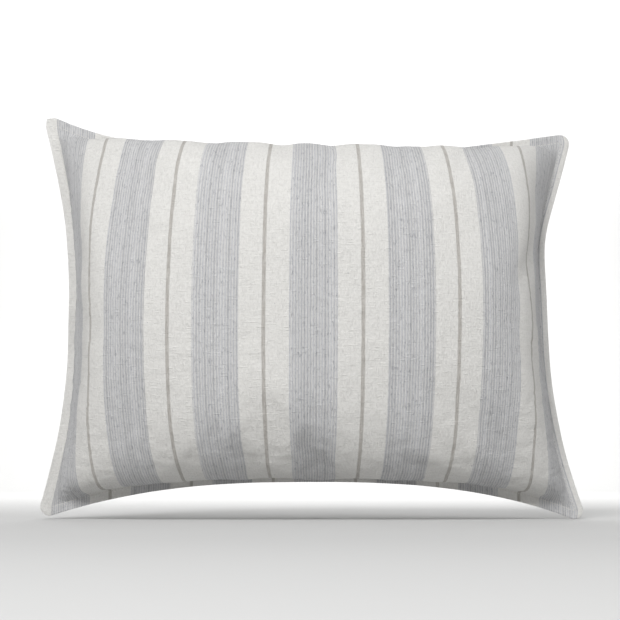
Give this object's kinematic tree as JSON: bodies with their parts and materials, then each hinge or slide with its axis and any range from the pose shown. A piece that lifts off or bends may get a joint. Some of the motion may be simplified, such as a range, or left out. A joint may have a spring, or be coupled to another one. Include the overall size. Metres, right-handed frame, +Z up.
{
  "type": "throw pillow",
  "caption": "Oblong throw pillow in a woven striped cover with a narrow topstitched self flange, a zip across the lower back and a stuffed insert.",
  "frame": {"origin": "centre of the bounding box, at its lowest point, where the two bottom corners of the upright pillow stand", "axes": "+X along the pillow's long side, -Y out of the striped front face, +Y out of the back with the zip, +Z up"},
  "size_m": [0.5252, 0.2128, 0.383],
  "materials": {
    "striped_cloth": "yarn-dyed plain weave, blue-grey and off-white stripes with a thin taupe line, matte with slubs",
    "cover_thread": "off-white spun thread, matte",
    "label_tape": "blank white satin tape, soft sheen",
    "casing_cloth": "plain white cotton cambric, matte",
    "filling": "loose white fibre filling, matte",
    "zip_tape": "off-white woven tape, matte",
    "zip_coil": "off-white nylon, satin",
    "zip_metal": "nickel-plated, satin"
  },
  "bodies": {
    "pillow": {"cover_front_panel": "striped_cloth", "cover_back_panel_upper": "striped_cloth", "cover_back_panel_lower": "striped_cloth", "flange_needle_thread": "cover_thread", "flange_bobbin_thread": "cover_thread", "cover_edge_seam_thread": "cover_thread", "cover_care_label": "label_tape", "insert_casing_front": "casing_cloth", "insert_casing_back": "casing_cloth", "insert_seam_thread": "cover_thread", "insert_fill": "filling", "insert_label": "label_tape", "zip_tape_upper": "zip_tape", "zip_tape_lower": "zip_tape", "zip_coil_upper": "zip_coil", "zip_coil_lower": "zip_coil", "zip_stitch_upper": "cover_thread", "zip_stitch_lower": "cover_thread", "zip_top_stop_upper": "zip_metal", "zip_top_stop_lower": "zip_metal", "zip_bottom_stop": "zip_metal", "zip_bar_tack_left": "cover_thread", "zip_bar_tack_right": "cover_thread"},
    "zip_slider": {"zip_slider_body": "zip_metal"},
    "zip_pull": {"zip_pull_tab": "zip_metal"}
  },
  "joints": [
    {"name": "zip_slider_travel", "type": "hinge", "parent": "pillow", "child": "zip_slider", "pos_m": [0, -1.32814, 0.07348], "axis": [0, 0, -1], "range_deg": [0, 13.96]},
    {"name": "zip_pull_swing", "type": "hinge", "parent": "zip_slider", "child": "zip_pull", "pos_m": [-0.17097, 0.06862, 0.07108], "axis": [-0.0748, 0.6111, 0.788], "range_deg": [0, 170]}
  ]
}
